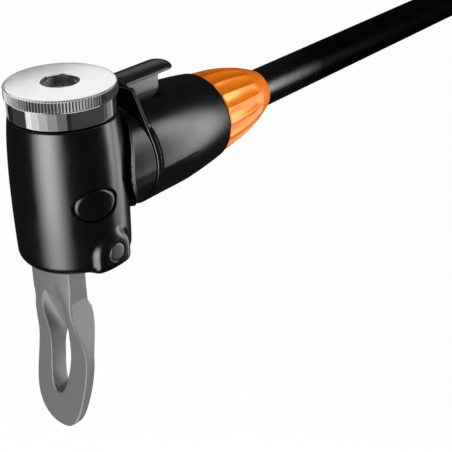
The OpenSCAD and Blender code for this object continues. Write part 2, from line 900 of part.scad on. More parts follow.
module hose_coil() {
    color([0.06, 0.06, 0.065])
        tube(coil_path, hose_d / 2, 6, [0, 1, 0], last = tail_start);
}

module hose_tail() {
    color([0.06, 0.06, 0.065])
        tube(coil_path, hose_d / 2, 6, [0, 1, 0], first = tail_start);
}

tie_room = 0.7;
tie_t = 1.2;
tie_w = 10;
tie_first = tie_turn - slope;      // how far the coil has turned at the tie
tie_last = tie_first + 360 * coil_turns;

module tie_shape(r) {
    hull()
        for (turned = [tie_first, tie_last])
            translate([coil_y(turned), 0])
                circle(r = r, $fn = 32);
}

module hose_tie() {
    color([0.12, 0.12, 0.13])
        translate([coil_x, 0, coil_z])
            rotate([0, tie_turn, 0])
                translate([-tie_w / 2, 0, coil_r - 0.1])
                    rotate([90, 0, 90])
                        linear_extrude(tie_w)
                            difference() {
                                tie_shape(hose_d / 2 + tie_room + tie_t);
                                tie_shape(hose_d / 2 + tie_room);
                            }
}

/* ---- Far end ---- */

module at_end(z) {
    translate([end_x, end_y, z])
        children();
}

ferrule_floor = 1;                 // thickness of the ferrule's turned-in end
end_pipe_d = 7.4;
seat_d = nut_thread_d - 0.6;       // the pipe's flange, inside the nut
seat_t = 1.2;
nut_shelf = 2;                     // the nut's turned-in end
nut_top = end_z - ferrule_floor - 2;
nut_end = nut_top - nut_len;
seat_top = nut_top - nut_shelf - 0.2;
pipe_end = seat_top - seat_t;
washer_t = 1.2;

module end_ferrule() {
    color([0.7, 0.7, 0.72])
        at_end(end_z - ferrule_floor)
            difference() {
                cylinder(h = hose_d - ferrule_floor, d = ferrule_d);
                translate([0, 0, -cut])
                    cylinder(h = hose_d, d = end_pipe_d + 2 * press);
                translate([0, 0, ferrule_floor])
                    cylinder(h = hose_d, d = hose_d + 2 * press);
            }
}

module end_connector() {
    color([0.78, 0.64, 0.36])
        at_end(pipe_end)
            difference() {
                union() {
                    cylinder(h = end_z - pipe_end, d = end_pipe_d);
                    cylinder(h = seat_t, d = seat_d);
                }
                translate([0, 0, -cut])
                    cylinder(h = end_z - pipe_end + 2 * cut, d = air_d);
            }
}

module end_washer() {
    color([0.1, 0.1, 0.1])
        at_end(0)
            washer(pipe_end - washer_t, washer_t, seat_d - 0.2, air_d + 1);
}

module end_nut() {
    color([0.8, 0.68, 0.4])
        at_end(nut_end)
            difference() {
                cylinder(h = nut_len, d = nut_af / cos(30), $fn = 6);
                translate([0, 0, -cut])
                    cylinder(h = nut_len - nut_shelf + cut, d = seat_d + 2 * run);
                translate([0, 0, -cut])
                    cylinder(h = pipe_end - washer_t - 0.2 - nut_end + cut, d = nut_thread_d);
                translate([0, 0, -cut])
                    cylinder(h = nut_len + 2 * cut, d = end_pipe_d + 2 * run);
            }
}

housing();
screw_cap();
slip_washer();
valve_seal();
cap_oring();
plunger();
plunger_oring_upper();
plunger_oring_lower();
pin_bush();
depressor_pin();
pin_spring();
lever();
lever_pin();
badge_plate();
arm_sleeve();
thumb_tab();
sleeve_oring();
sleeve_clip();
hose_connector();
connector_oring();
connector_clip();
hose_collar();
hose_ferrule();
hose_root();
hose();
hose_coil();
hose_tail();
hose_tie();
end_ferrule();
end_connector();
end_washer();
end_nut();
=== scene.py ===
"""Looks of a clamp-on tyre valve head and its hose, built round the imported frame.

Piece functions work in millimetres in the frame's axes; MM turns them into metres.
"""
import json
import math

import bpy
import numpy as np
from mathutils import Matrix, Quaternion, Vector


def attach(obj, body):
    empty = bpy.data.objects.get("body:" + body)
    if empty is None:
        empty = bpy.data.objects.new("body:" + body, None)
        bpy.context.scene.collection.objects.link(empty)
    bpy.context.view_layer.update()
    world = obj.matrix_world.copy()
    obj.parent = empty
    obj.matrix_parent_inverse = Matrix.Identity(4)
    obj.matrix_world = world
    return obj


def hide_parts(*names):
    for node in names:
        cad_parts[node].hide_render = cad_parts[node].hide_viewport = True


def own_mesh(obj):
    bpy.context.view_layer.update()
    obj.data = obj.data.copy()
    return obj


MM = 0.001
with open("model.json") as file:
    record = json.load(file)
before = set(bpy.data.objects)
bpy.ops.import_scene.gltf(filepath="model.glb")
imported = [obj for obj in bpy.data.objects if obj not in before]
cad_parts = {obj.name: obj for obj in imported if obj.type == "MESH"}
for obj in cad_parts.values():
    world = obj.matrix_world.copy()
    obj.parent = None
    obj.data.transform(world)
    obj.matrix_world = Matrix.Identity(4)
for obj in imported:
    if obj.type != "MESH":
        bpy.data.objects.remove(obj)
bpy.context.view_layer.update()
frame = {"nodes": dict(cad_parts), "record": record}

# Levels and places shared by several pieces, as in the CAD
ARM_Z = -23.0
PIN_Z = -38.0
FOOT_Z = -42.4
CAP_BOTTOM = -7.1
SLEEVE_X = 16.2
SLEEVE_END = 44.8
MOUTH_X = 68.3
HOSE_D = 10.7

# ---------------------------------------------------------------- camera

EYE = (-0.13273, -0.15667, 0.07414)
AZIMUTH, ELEVATION, ROLL = map(math.radians, (-50.31, 28.71, -0.68))
LENS = 77.97


def add_camera():
    """The photograph's camera: no shift, a slight roll."""
    sa, ca, se, ce = math.sin(AZIMUTH), math.cos(AZIMUTH), math.sin(ELEVATION), math.cos(ELEVATION)
    right, up = Vector((ca, sa, 0)), Vector((-sa * se, ca * se, ce))
    back = Vector((sa * ce, -ca * ce, se))
    cr, sr = math.cos(ROLL), math.sin(ROLL)
    right, up = cr * right + sr * up, cr * up - sr * right
    data = bpy.data.cameras.new("view")
    data.lens, data.sensor_width, data.clip_start = LENS, 36.0, 0.01
    camera = bpy.data.objects.new("view", data)
    turn = Matrix((right, up, back)).transposed().to_4x4()
    camera.matrix_world = Matrix.Translation(EYE) @ turn
    bpy.context.scene.collection.objects.link(camera)
    bpy.context.scene.camera = camera


# ---------------------------------------------------------------- materials


class Paint:
    """A Principled material whose colour, roughness and bump come from noise."""

    def __init__(self, name, colour, rough, metal=0.0, level=0.5):
        self.material = bpy.data.materials.new(name)
        self.material.use_nodes = True
        self.tree = self.material.node_tree
        self.shader = self.tree.nodes["Principled BSDF"]
        self.shader.inputs["Base Color"].default_value = (*colour, 1)
        self.shader.inputs["Roughness"].default_value = rough
        self.shader.inputs["Metallic"].default_value = metal
        self.shader.inputs["Specular IOR Level"].default_value = level
        self.colour = colour

    def node(self, kind, **sockets):
        """A new node with its inputs set by name, or by number as in i0."""
        made = self.tree.nodes.new("ShaderNode" + kind)
        for name, value in sockets.items():
            self.set(made.inputs[int(name[1:]) if name.startswith("i") else name], value)
        return made

    def set(self, socket, value):
        if isinstance(value, bpy.types.NodeSocket):
            self.tree.links.new(value, socket)
        else:
            socket.default_value = value

    def math(self, operation, a, b=0.0):
        made = self.node("Math", i0=a, i1=b)
        made.operation = operation
        return made.outputs[0]

    def place(self, stretch=(1, 1, 1)):
        """Object coordinates in metres, stretched along each axis."""
        at = self.tree.nodes.new("ShaderNodeTexCoord")
        scaled = self.node("Mapping", Vector=at.outputs["Object"])
        scaled.inputs["Scale"].default_value = stretch
        return scaled.outputs[0]

    def noise(self, scale, detail=3.0, stretch=(1, 1, 1)):
        made = self.node("TexNoise", Vector=self.place(stretch))
        made.inputs["Scale"].default_value = scale
        made.inputs["Detail"].default_value = detail
        return made.outputs[0]

    def spread(self, value, low, high, new_low, new_high):
        made = self.node("MapRange", i0=value)
        for socket, number in zip((1, 2, 3, 4), (low, high, new_low, new_high)):
            made.inputs[socket].default_value = number
        return made.outputs[0]

    def vary_colour(self, value, other):
        """Between the base colour and another one, as value goes from 0 to 1."""
        made = self.node("Mix", i0=value)
        made.data_type = "RGBA"
        made.inputs[6].default_value = (*self.colour, 1)
        made.inputs[7].default_value = (*other, 1)
        self.set(self.shader.inputs["Base Color"], made.outputs[2])

    def vary_rough(self, value, low, high):
        self.set(self.shader.inputs["Roughness"], self.spread(value, 0.3, 0.7, low, high))

    def bump(self, value, depth_mm):
        made = self.node("Bump", Height=value)
        made.inputs["Strength"].default_value = 1.0
        made.inputs["Distance"].default_value = depth_mm * MM
        self.set(self.shader.inputs["Normal"], made.outputs[0])


def moulded(name, colour, worn, rough, level=1.0, grain=0.012):
    """Moulded plastic: fine spark-eroded grain, slow changes of gloss and faint scuffs."""
    paint = Paint(name, colour, rough, level=level)
    slow = paint.noise(90, 4)
    paint.vary_rough(slow, rough - 0.05, rough + 0.05)
    paint.vary_colour(paint.spread(paint.noise(700, 5), 0.55, 0.8, 0.0, 1.0), worn)
    paint.bump(paint.noise(5200, 2), grain)
    return paint


def housing_black():
    paint = moulded("housing_black", (0.0012, 0.0026, 0.0021), (0.002, 0.0034, 0.003), 0.22, grain=0.005)
    return paint.material


def sleeve_dark():
    paint = moulded("sleeve_dark", (0.0014, 0.003, 0.0025), (0.0022, 0.0038, 0.0033), 0.24, grain=0.005)
    return paint.material


def lever_grey():
    return moulded("lever_grey", (0.127, 0.127, 0.126), (0.14, 0.14, 0.138), 0.32, 0.9, 0.01).material


def tab_grey():
    paint = moulded("tab_grey", (0.014, 0.017, 0.016), (0.018, 0.021, 0.02), 0.28, grain=0.005)
    # the stem under the paddle is painted a lighter grey: painted light standing in for the light on its lit
    # side faces
    paddle_foot = -0.00552
    at = paint.node("SeparateXYZ", Vector=paint.place())
    paint.vary_colour(paint.math("LESS_THAN", at.outputs[2], paddle_foot), (0.25, 0.275, 0.285))
    return paint.material


def collar_orange():
    paint = moulded("collar_orange", (0.93, 0.2, 0.002), (0.95, 0.24, 0.002), 0.26, 0.75, 0.004)
    paint.shader.inputs["Specular Tint"].default_value = (0.7, 1.0, 0.26, 1)
    return paint.material


def badge_dark():
    return moulded("badge_dark", (0.002, 0.0035, 0.003), (0.004, 0.0055, 0.005), 0.22, 0.7, 0.003).material


def cap_chrome():
    """Bright plating: a fine-turned top face, polished sides, faint handling haze."""
    turning_pitch = 0.00022
    paint = Paint("cap_chrome", (0.86, 0.87, 0.87), 0.1, metal=1.0)
    facing = paint.node("SeparateXYZ", Vector=paint.node("NewGeometry").outputs["Normal"])
    top = paint.spread(facing.outputs[2], 0.7, 0.95, 0.0, 1.0)
    haze = paint.spread(paint.noise(260, 5), 0.35, 0.75, 0.05, 0.11)
    paint.set(paint.shader.inputs["Roughness"], paint.math("ADD", haze, paint.math("MULTIPLY", top, 0.08)))
    at = paint.node("SeparateXYZ", Vector=paint.place())
    squares = [paint.math("MULTIPLY", at.outputs[k], at.outputs[k]) for k in (0, 1)]
    radius = paint.math("POWER", paint.math("ADD", *squares), 0.5)
    rings = paint.math("SINE", paint.math("MULTIPLY", radius, 2 * math.pi / turning_pitch))
    paint.bump(paint.math("MULTIPLY", rings, top), 0.0003)
    return paint.material


def metal(name, colour, dark, rough, grain, stretch=(1, 1, 1)):
    """Turned or drawn metal with fine tool marks and light tarnish."""
    paint = Paint(name, colour, rough, metal=1.0)
    paint.vary_colour(paint.spread(paint.noise(420, 5), 0.45, 0.75, 0.0, 1.0), dark)
    marks = paint.noise(3000, 3, stretch)
    paint.vary_rough(marks, rough - 0.08, rough + 0.1)
    paint.bump(marks, grain)
    return paint.material


def pin_steel():
    return metal("pin_steel", (0.27, 0.28, 0.28), (0.2, 0.21, 0.21), 0.42, 0.004, (1, 0.1, 1))


def brass():
    return metal("brass", (0.68, 0.5, 0.22), (0.5, 0.34, 0.12), 0.3, 0.004, (1, 1, 0.15))


def spring_steel():
    return metal("spring_steel", (0.6, 0.6, 0.61), (0.42, 0.42, 0.43), 0.3, 0.004)


def rubber(name, colour, rough, grain):
    """Extruded or moulded rubber: a dull bloom in patches and a fine skin."""
    paint = Paint(name, colour, rough, level=1.0)
    bloom = tuple(1.8 * c for c in colour)
    paint.vary_colour(paint.spread(paint.noise(160, 5), 0.5, 0.8, 0.0, 1.0), bloom)
    paint.vary_rough(paint.noise(600, 4), rough - 0.04, rough + 0.07)
    paint.bump(paint.noise(3600, 3), grain)
    return paint


def hose_rubber():
    """Its sheen is handled in beside the collar and dull further along."""
    paint = rubber("hose_rubber", (0.0012, 0.0018, 0.0017), 0.25, 0.003)
    along = paint.node("SeparateXYZ", Vector=paint.place())
    sheen = paint.spread(along.outputs[0], 0.07, 0.095, 1.0, 0.03)
    paint.set(paint.shader.inputs["Specular IOR Level"], sheen)
    return paint.material


def seal_rubber():
    return rubber("seal_rubber", (0.16, 0.165, 0.16), 0.3, 0.004).material


def plunger_white():
    return moulded("plunger_white", (0.62, 0.6, 0.55), (0.55, 0.52, 0.45), 0.4).material


def tie_black():
    """A woven strap: warp ribs along it and weft steps across."""
    rib_pitch, weft_pitch = 0.0007, 0.0005
    paint = Paint("tie_black", (0.012, 0.012, 0.013), 0.75, level=0.3)
    at = paint.node("SeparateXYZ", Vector=paint.place())
    rib = paint.math("SINE", paint.math("MULTIPLY", at.outputs[0], 2 * math.pi / rib_pitch))
    across = paint.math("ADD", at.outputs[1], at.outputs[2])
    weft = paint.math("SINE", paint.math("MULTIPLY", across, 2 * math.pi / weft_pitch))
    weave = paint.math("MULTIPLY", rib, weft)
    paint.vary_colour(paint.spread(weave, -0.4, 1.0, 0.0, 1.0), (0.035, 0.035, 0.037))
    paint.bump(weave, 0.08)
    paint.shader.inputs["Sheen Weight"].default_value = 0.2
    return paint.material


MAKERS = (housing_black, cap_chrome, lever_grey, pin_steel, sleeve_dark, tab_grey, badge_dark,
          collar_orange, hose_rubber, seal_rubber, brass, spring_steel, plunger_white, tie_black)
FINISH = {make.__name__: make() for make in MAKERS}


def finish_frame():
    """Gives every CAD node the procedural material of its slot."""
    for part in frame["record"]["subparts"]:
        node = frame["nodes"][part["node"]]
        node.data.materials.clear()
        node.data.materials.append(FINISH[part["material_slot"]])
        node.data.set_sharp_from_angle(angle=math.radians(40))


# ---------------------------------------------------------------- meshes


def add_piece(name, verts, faces, body, slot, nodes=(), normals=None, sharp=None):
    """A piece from points in millimetres; it rides on a body and stands for CAD nodes."""
    mesh = bpy.data.meshes.new(name)
    mesh.from_pydata((np.asarray(verts, float) * MM).tolist(), [], [list(map(int, f)) for f in faces])
    mesh.shade_smooth()
    if sharp:
        mesh.set_sharp_from_angle(angle=math.radians(sharp))
    if normals is not None:
        mesh.normals_split_custom_set_from_vertices(normals.tolist())
    piece = bpy.data.objects.new(name, mesh)
    bpy.context.scene.collection.objects.link(piece)
    mesh.materials.append(FINISH[slot])
    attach(piece, body)
    if nodes:
        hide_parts(*nodes)
    return piece


def loft(rings, closed=False):
    """Faces over rings of equal length; open lofts get a flat end at each side."""
    rings = np.asarray(rings, float)
    count, sides = rings.shape[:2]
    index = np.arange(count * sides).reshape(count, sides)
    here = index if closed else index[:-1]
    there = np.roll(index, -1, 0) if closed else index[1:]
    quads = np.stack([here, np.roll(here, -1, 1), np.roll(there, -1, 1), there], -1).reshape(-1, 4)
    faces = quads.tolist()
    if not closed:
        faces += [index[0][::-1].tolist(), index[-1].tolist()]
    return rings.reshape(-1, 3), faces


def around(count):
    return 2 * math.pi * np.arange(count) / count


def turned(rows, count=96, arm=False):
    """Rings about the valve axis, or about the arm's axis. A row is (radius, place)."""
    t = around(count)
    rings = []
    for radius, at in rows:
        r = radius * np.ones(count)
        if arm:
            rings.append(np.stack([at * np.ones(count), r * np.sin(t), ARM_Z + r * np.cos(t)], -1))
        else:
            rings.append(np.stack([r * np.cos(t), r * np.sin(t), at * np.ones(count)], -1))
    return np.array(rings)


# ---------------------------------------------------------------- solid shapes from distance fields

PULLS = 4            # times that skin() moves its points onto the surface
NORMAL_STEP = 0.06   # millimetres between the samples that give a normal


def meet(a, b, r=0.0):
    """Both shapes at once, with the edge rounded to r, which may be an array."""
    return np.minimum(-r, np.maximum(a, b)) + np.hypot(np.maximum(r + a, 0), np.maximum(r + b, 0))


def join(a, b, r=0.0):
    """Either shape, with a fillet of r between them."""
    return -meet(-a, -b, r)


def cut(a, b, r=0.0):
    """The first shape without the second, with the rim rounded to r."""
    return meet(a, -b, r)


def slab(value, low, high):
    return np.maximum(low - value, value - high)


def polygon(u, v, points):
    """Signed distance to a closed outline, less than 0 inside."""
    u, v = np.broadcast_arrays(u, v)
    near = np.full(u.shape, 1e9)
    inside = np.zeros(u.shape, bool)
    points = np.asarray(points, float)
    for (au, av), (bu, bv) in zip(points, np.roll(points, -1, 0)):
        du, dv = bu - au, bv - av
        t = np.clip(((u - au) * du + (v - av) * dv) / (du * du + dv * dv), 0, 1)
        near = np.minimum(near, (u - au - t * du) ** 2 + (v - av - t * dv) ** 2)
        crosses = (av > v) != (bv > v)
        if dv:
            inside ^= crosses & (u < au + (v - av) * du / dv)
    return np.where(inside, -1, 1) * np.sqrt(near)


def gradient(field, p, h=0.02):
    """The field's slope at points, from steps of h millimetres either way."""
    out = np.empty_like(p)
    for k in range(3):
        step = np.zeros(3)
        step[k] = h
        out[:, k] = (field(*(p + step).T) - field(*(p - step).T)) / (2 * h)
    return out


def skin(field, low, high, cell):
    """A quad mesh of where a field is zero, pulled onto it, and the field's normals."""
    axes = [np.arange(a, b + cell, cell) for a, b in zip(low, high)]
    value = field(axes[0][:, None, None], axes[1][None, :, None], axes[2][None, None, :])
    value = np.broadcast_to(value, [len(a) for a in axes])
    size = np.array(value.shape) - 1
    corners = [(i, j, k) for i in (0, 1) for j in (0, 1) for k in (0, 1)]

    def corner(c, among=None):
        block = value[c[0]:c[0] + size[0], c[1]:c[1] + size[1], c[2]:c[2] + size[2]]
        return block if among is None else block[among]

    within = sum((corner(c) < 0).astype(np.int8) for c in corners)
    cells = np.nonzero((within > 0) & (within < 8))
    number = -np.ones(size, int)
    number[cells] = np.arange(len(cells[0]))
    total, hits = np.zeros((len(cells[0]), 3)), np.zeros(len(cells[0]))
    for a in corners:
        for k in range(3):
            if a[k]:
                continue
            b = tuple(a[i] + (i == k) for i in range(3))
            va, vb = corner(a, cells), corner(b, cells)
            crossed = (va < 0) != (vb < 0)
            t = np.where(crossed, va / np.where(crossed, va - vb, 1), 0)
            point = np.array(a, float)[None] + t[:, None] * (np.arange(3) == k)
            total[crossed] += point[crossed]
            hits += crossed
    points = np.array([a[0] for a in axes]) + cell * (np.stack(cells, -1) + total / hits[:, None])
    quads = []
    for k in range(3):
        u, v = (k + 1) % 3, (k + 2) % 3
        a = value[tuple(slice(0, -1) if i == k else slice(1, -1) for i in range(3))]
        b = value[tuple(slice(1, None) if i == k else slice(1, -1) for i in range(3))]
        for sign, flip in ((a < 0) & (b >= 0), False), ((a >= 0) & (b < 0), True):
            at = np.stack(np.nonzero(sign), -1)
            at[:, [u, v]] += 1
            ring = []
            for du, dv in ((0, 0), (-1, 0), (-1, -1), (0, -1)):
                q = at.copy()
                q[:, u] += du
                q[:, v] += dv
                ring.append(number[tuple(q.T)])
            ring = np.stack(ring, -1)
            quads.append(ring[:, ::-1] if flip else ring)
    for _ in range(PULLS):
        slope = gradient(field, points)
        pull = field(*points.T) / np.maximum((slope ** 2).sum(1), 0.25)
        points -= np.clip(pull, -cell / 2, cell / 2)[:, None] * slope
    slope = gradient(field, points, NORMAL_STEP)
    slope /= np.maximum(np.linalg.norm(slope, axis=1), 1e-9)[:, None]
    return points, np.concatenate(quads), slope


def mould(name, field, low, high, cell, body, slot, nodes):
    """A piece from a distance field, sampled every cell millimetres between two corners."""
    points, quads, normals = skin(field, low, high, cell)
    return add_piece(name, points, quads, body, slot, nodes, normals)


def bezier(a, b, c, count):
    """Points along the curve from a to c that b pulls on."""
    t = np.linspace(0, 1, count + 1)[:, None]
    a, b, c = (np.array(p, float) for p in (a, b, c))
    return (1 - t) ** 2 * a + 2 * t * (1 - t) * b + t ** 2 * c


def ease(t):
    """A smooth step from 0 to 1."""
    t = np.clip(t, 0, 1)
    return t * t * (3 - 2 * t)


# ---------------------------------------------------------------- hose

# The route's points as in the CAD: [distance, height over the arm's axis]
HOSE_ROUTE = ((68.3, 0), (90, 0), (112, 0), (134, 0), (156, 0), (178, 0),
              (200, -0.5), (221, -2), (242, -5), (263, -9.5), (284, -15.5))
SLOPE = math.degrees(math.atan2(6, 21))
COIL_R, COIL_STEP, FAR_SLIP = 55.0, 11.6, 4.0
COIL_X, COIL_Z = 279.1786, -94.3233
COIL_TURN = 720 + 90 - SLOPE
END = np.array([334.1786, -29.5862, -105.0233])
TIE_AT = 28   # degrees from the coil's top


def coil_points(turned_by):
    """Places on the coil's centreline, by degrees turned from its start."""
    t = np.radians(90 - SLOPE - turned_by)
    y = -COIL_STEP * turned_by / 360 - FAR_SLIP * ease(1 + (turned_by - COIL_TURN) / 90)
    return np.stack([COIL_X + COIL_R * np.cos(t), y, COIL_Z + COIL_R * np.sin(t)], -1)


def hose_path():
    """The whole centreline: along the route, round the coil and down into the fitting."""
    route = np.array(HOSE_ROUTE, float)
    x = np.linspace(route[0, 0], route[-1, 0], 36)
    slopes = np.gradient(route[:, 1], route[:, 0])
    k = np.clip(np.searchsorted(route[:, 0], x) - 1, 0, len(route) - 2)
    span = route[k + 1, 0] - route[k, 0]
    t = (x - route[k, 0]) / span
    z = ((1 + 2 * t) * (1 - t) ** 2 * route[k, 1] + t * t * (3 - 2 * t) * route[k + 1, 1]
         + span * (t * (1 - t) ** 2 * slopes[k] - t * t * (1 - t) * slopes[k + 1]))
    straight = np.stack([x, 0 * x, ARM_Z + z], -1)
    coil = coil_points(np.linspace(0, COIL_TURN, 116))
    return np.concatenate([straight, coil, [END + (0, 0, HOSE_D / 2), END]])


def add_hose():
    curve = bpy.data.curves.new("hose_line", "CURVE")
    curve.dimensions = "3D"
    curve.bevel_depth = HOSE_D / 2 * MM
    curve.bevel_resolution = 14
    curve.use_fill_caps = True
    path = hose_path() * MM
    spline = curve.splines.new("POLY")
    spline.points.add(len(path) - 1)
    spline.points.foreach_set("co", np.column_stack([path, np.ones(len(path))]).ravel())
    spline.use_smooth = True
    curve.materials.append(FINISH["hose_rubber"])
    hose = bpy.data.objects.new("air_hose", curve)
    bpy.context.scene.collection.objects.link(hose)
    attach(hose, "hose_line")
    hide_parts("hose", "hose_coil", "hose_tail")
    return hose


def add_tie():
    """A woven strap round the three strands."""
    first = TIE_AT - SLOPE
    centres = [coil_points(np.array([first + 360 * k]))[0][1] for k in (0, 2)]
    inner = HOSE_D / 2 + 0.7
    count, edge = 96, 0.3
    t = around(count)
    y = np.where(np.cos(t) > 0, max(centres), min(centres))
    width, thick = 10.0, 1.2
    half = width / 2
    section = [(-half + edge, 0), (half - edge, 0), (half, edge), (half, thick - edge),
               (half - edge, thick), (-half + edge, thick), (-half, thick - edge), (-half, edge)]
    rings = []
    for along, out in section:
        r = inner + out
        rings.append(np.stack([np.full(count, along), y + r * np.cos(t), COIL_R - 0.1 + r * np.sin(t)], -1))
    rings = np.array(rings)
    turn = math.radians(TIE_AT)
    x, z = rings[..., 0].copy(), rings[..., 2].copy()
    rings[..., 0] = COIL_X + x * math.cos(turn) + z * math.sin(turn)
    rings[..., 2] = COIL_Z - x * math.sin(turn) + z * math.cos(turn)
    verts, faces = loft(rings, closed=True)
    return add_piece("coil_tie", verts, faces, "hose_line", "tie_black", ["hose_tie"], sharp=35)


def add_end_ferrule():
    """A pressed ferrule with three crimped rings, open where the hose goes in."""
    outer = (HOSE_D + 1.4) / 2
    bottom, height = END[2] - 1, HOSE_D - 1
    bore, floor = HOSE_D / 2 + 0.01, 1.0
    pipe = 3.72
    rows = [(pipe, 0), (outer - 0.35, 0), (outer, 0.35)]
    for k in range(41):
        at = 0.8 + (height - 1.2) * k / 40
        crimp = 0.22 * max(0.0, math.sin(6 * math.pi * k / 40 - 0.4)) ** 0.7
        rows.append((outer - crimp, at))
    rows += [(outer, height - 0.25), (outer - 0.2, height), (bore, height), (bore, floor), (pipe, floor)]
    rings = turned([(r, bottom + z) for r, z in rows], 72)
    rings[..., :2] += END[:2]
    verts, faces = loft(rings, closed=True)
    return add_piece("pressed_ferrule", verts, faces, "hose_line", "spring_steel", ["end_ferrule"], sharp=40)


def add_nut():
    """The union nut: a hexagon with turned corners, open at the thread."""
    top, length, flats = END[2] - 3, 10.0, 14.0
    count = 144
    t = around(count)
    hexagon = flats / 2 / np.cos((t + math.pi / 6) % (math.pi / 3) - math.pi / 6)
    corner = flats / 2 / math.cos(math.pi / 6)

    def ring(limit, z):
        r = np.minimum(hexagon, limit)
        return np.stack([END[0] + r * np.cos(t), END[1] + r * np.sin(t), np.full(count, top + z)], -1)

    rings = [ring(4.6, -2), ring(4.6, -4.8), ring(5.0, -4.85)]
    for k in range(31):
        z = -5.0 - 4.4 * k / 30
        turn = (t / (2 * math.pi) - z / 1.3) % 1.0
        crest = ease((0.5 - np.abs(turn - 0.5)) * 2.4) * min(1.0, k / 3, (30 - k) / 3)
        rings.append(ring(5.02 - 0.36 * crest, z))
    rings += [ring(5.02, -length + 0.4), ring(5.35, -length + 0.06), ring(5.6, -length), ring(6.7, -length)]
    for k in range(7):
        rings.append(ring(6.9 + (corner - 6.9) * (k / 6) ** 0.6, -length + 0.12 + 0.9 * k / 6))
    for k in range(7):
        rings.append(ring(corner - (corner - 6.9) * (k / 6) ** 1.7, -1.02 + 0.9 * k / 6))
    rings += [ring(6.7, 0), ring(4.1, 0), ring(3.75, -0.3), ring(3.75, -2)]
    verts, faces = loft(np.array(rings), closed=True)
    return add_piece("hexagon_nut", verts, faces, "union_nut", "brass", ["end_nut"], sharp=25)


# ---------------------------------------------------------------- head


def side_radius(z):
    """The housing's outline, a slow bulge."""
    line = bezier((12.3, CAP_BOTTOM - 0.3), (13.9, -17.4), (13.35, -39.9), 40)
    return np.interp(-z, -line[:, 1], line[:, 0])


BADGE_DEPTH, BADGE_TURN = 25.15, -16
PIN_BORE = 2.25


def badge_oval(x, y, z, inset):
    """Distance to the badge's outline, in front of the housing only."""
    turn = math.radians(BADGE_TURN)
    u = x * math.cos(turn) + y * math.sin(turn)
    out = x * math.sin(turn) - y * math.cos(turn)
    a, b = 5.5 - inset, 4.0 - inset
    k = np.hypot(u / a, (z + BADGE_DEPTH) / b)
    oval = (k - 1) * k / np.maximum(np.hypot(u / a ** 2, (z + BADGE_DEPTH) / b ** 2), 1e-6)
    return np.maximum(oval, 1 - out)


def housing_field(x, y, z):
    radius, arm = np.hypot(x, y), np.hypot(y, z - ARM_Z)
    body = meet(meet(radius - side_radius(z), FOOT_Z - z, 2.5), z - CAP_BOTTOM + 0.3, 0.35)
    arch = np.where(z > PIN_Z, np.hypot(x, z - PIN_Z), np.abs(x)) - 5.2
    pad = meet(meet(arch, np.abs(y) - 14.4, 2.0), meet(FOOT_Z - z, radius - 15.0, 2.2), 0.8)
    solid = join(body, pad, 1.0)
    # the arm's root: a thin ring, with a groove between it and the body
    root = meet(meet(body - 1.75, arm - 13.02, 0.25), -x)
    neck = meet(meet(arm - 12.55, x - 16.05, 0.2), -x)
    tube = cut(join(root, neck, 0.1), meet(body - 1.25, 11.2 - arm, 0.1), 0.12)
    solid = join(solid, join(tube, np.maximum(arm - 11.2, slab(x, 0, 14)), 0.1), 0.1)
    bearing = meet(meet(arm - 9.2, x - 30.2, 0.3), -x)
    grooves = np.minimum(slab(x, 20.2, 21.8) + 0 * arm, slab(x, 28.2, 29.3))
    bearing = cut(bearing, meet(grooves, 8.2 - arm))
    solid = join(solid, bearing, 0.2)
    # the cap's thread, the plunger's chamber, the lever's slot and pin bore, the air way
    hollow = np.maximum(radius - 9.45, -14.0 - z)
    hollow = np.minimum(hollow, np.maximum(radius - 8.0, -32.3 - z))
    slot = np.maximum(np.maximum(slab(x, -9.75, 6.75), np.abs(y) - 6.05), z + 31.3)
    mouth = np.maximum(np.maximum(-x, np.abs(y) - 6.05), z + 36.6)
    hollow = np.minimum(hollow, np.minimum(slot, mouth))
    hollow = np.minimum(hollow, np.hypot(x, z - PIN_Z) - PIN_BORE)
    hollow = np.minimum(hollow, np.maximum(arm - 1.5, -x))
    hollow = np.minimum(hollow, np.maximum(arm - 5.5, 12 - x))
    hollow = np.minimum(hollow, np.maximum(arm - 6.4, slab(x, 25.2, 26.3)))
    solid = cut(solid, hollow, 0.25)
    plate = meet(badge_oval(x, y, z, 0), 12.75 - radius)
    return cut(solid, plate, 0.22)


def add_housing():
    return mould("head_housing", housing_field, (-14.2, -15.4, -43.2), (31.2, 15.4, -6.4), 0.3,
                 "head", "housing_black", ["housing"])


def add_badge():
    """A bare oval plate, slightly crowned with the housing."""
    def field(x, y, z):
        radius = np.hypot(x, y)
        oval = badge_oval(x, y, z, 0.15)
        return meet(meet(oval, radius - 13.5, 1.1), 12.76 - radius)
    return mould("bare_badge", field, (-10.6, -14, -30), (2.6, -10.6, -20), 0.22, "head", "badge_dark",
                 ["badge_plate"])


def add_pin():
    """The lever's pin: turned, with a chamfer and a shallow dished head at both ends."""
    rows = []
    for side in (1, -1):
        end = [(0.02, 14.5), (1.0, 14.49), (1.7, 14.46), (1.98, 14.43), (2.14, 14.34), (2.2, 14.2)]
        rows += [(r, side * y) for r, y in (end if side == 1 else end[::-1])]
    t = around(64)
    rings = [np.stack([r * np.cos(t), np.full(64, y), PIN_Z + r * np.sin(t)], -1) for r, y in rows]
    verts, faces = loft(rings)
    return add_piece("hinge_pin", verts, faces, "head", "pin_steel", ["lever_pin"], sharp=40)


